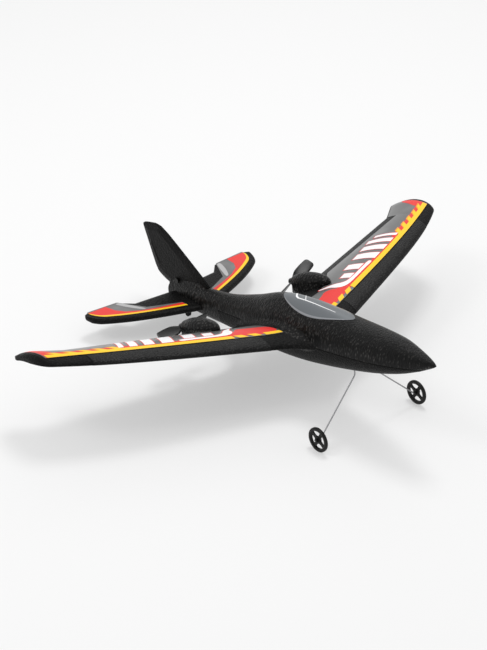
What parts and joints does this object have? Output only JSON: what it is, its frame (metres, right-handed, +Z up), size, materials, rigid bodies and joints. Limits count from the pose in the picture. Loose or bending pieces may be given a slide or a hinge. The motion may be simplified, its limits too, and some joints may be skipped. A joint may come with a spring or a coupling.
{
  "type": "radio control glider",
  "caption": "Foam twin-pusher glider with printed wing films, swept fin, wire landing gear, two spoked wheels and a tail skid, standing nose up.",
  "frame": {"origin": "on the ground below the middle of the glider's box, between the wheels and the tail skid", "axes": "+X to the nose along the ground, +Y to port, +Z up; the airframe stands 12 degrees nose up"},
  "size_m": [0.324, 0.38, 0.0848],
  "materials": {
    "foam": "beaded expanded foam, dull",
    "edge_film": "smooth satin film",
    "printed_film": "glossy printed film: yellow, red, grey and white",
    "canopy_film": "silver grey printed film",
    "carbon": "pultruded carbon rod",
    "black_plastic": "moulded, satin",
    "gloss_black": "moulded, glossy",
    "white_plastic": "moulded, satin",
    "motor_steel": "drawn steel can",
    "steel": "drawn wire",
    "battery_wrap": "shrink wrap",
    "circuit_board": "solder mask"
  },
  "bodies": {
    "airframe": {"fuselage_upper": "foam", "fuselage_belly": "foam", "canopy": "canopy_film", "port_wing": "foam", "starboard_wing": "foam", "port_spar": "carbon", "starboard_spar": "carbon", "port_edge_guard": "edge_film", "starboard_edge_guard": "edge_film", "port_wing_film": "printed_film", "starboard_wing_film": "printed_film", "tailplane": "foam", "port_tail_film": "printed_film", "starboard_tail_film": "printed_film", "fin": "foam", "fin_clip": "black_plastic", "tail_skid": "black_plastic", "port_nacelle": "foam", "starboard_nacelle": "foam", "port_motor": "motor_steel", "starboard_motor": "motor_steel", "port_motor_cap": "white_plastic", "starboard_motor_cap": "white_plastic", "gear_wire": "steel", "gear_clamp": "black_plastic", "port_wheel_cap": "black_plastic", "starboard_wheel_cap": "black_plastic", "port_wheel_collar": "black_plastic", "starboard_wheel_collar": "black_plastic", "battery": "battery_wrap", "battery_tray": "black_plastic", "receiver_board": "circuit_board", "receiver_shield": "motor_steel", "power_switch": "motor_steel", "charge_socket": "white_plastic", "belly_plate": "black_plastic"},
    "port_propeller": {"port_propeller": "gloss_black", "port_shaft": "steel"},
    "starboard_propeller": {"starboard_propeller": "gloss_black", "starboard_shaft": "steel"},
    "port_wheel": {"port_wheel": "black_plastic"},
    "starboard_wheel": {"starboard_wheel": "black_plastic"},
    "switch_slider": {"switch_slider": "white_plastic"}
  },
  "joints": [
    {"name": "port_propeller_spin", "type": "hinge", "parent": "airframe", "child": "port_propeller", "pos_m": [-0.04348, 0.054, 0.03856], "axis": [0.9272, 0, 0.3746], "continuous": true},
    {"name": "starboard_propeller_spin", "type": "hinge", "parent": "airframe", "child": "starboard_propeller", "pos_m": [-0.04348, -0.054, 0.03856], "axis": [0.9272, 0, 0.3746], "continuous": true},
    {"name": "port_wheel_spin", "type": "hinge", "parent": "airframe", "child": "port_wheel", "pos_m": [0.09973, 0.048, 0.0093], "axis": [0, 1, 0], "continuous": true},
    {"name": "starboard_wheel_spin", "type": "hinge", "parent": "airframe", "child": "starboard_wheel", "pos_m": [0.09973, -0.048, 0.0093], "axis": [0, 1, 0], "continuous": true},
    {"name": "power_switch_slide", "type": "slide", "parent": "airframe", "child": "switch_slider", "axis": [0.9781, 0, 0.2079], "range_m": [0, 0.002]}
  ]
}
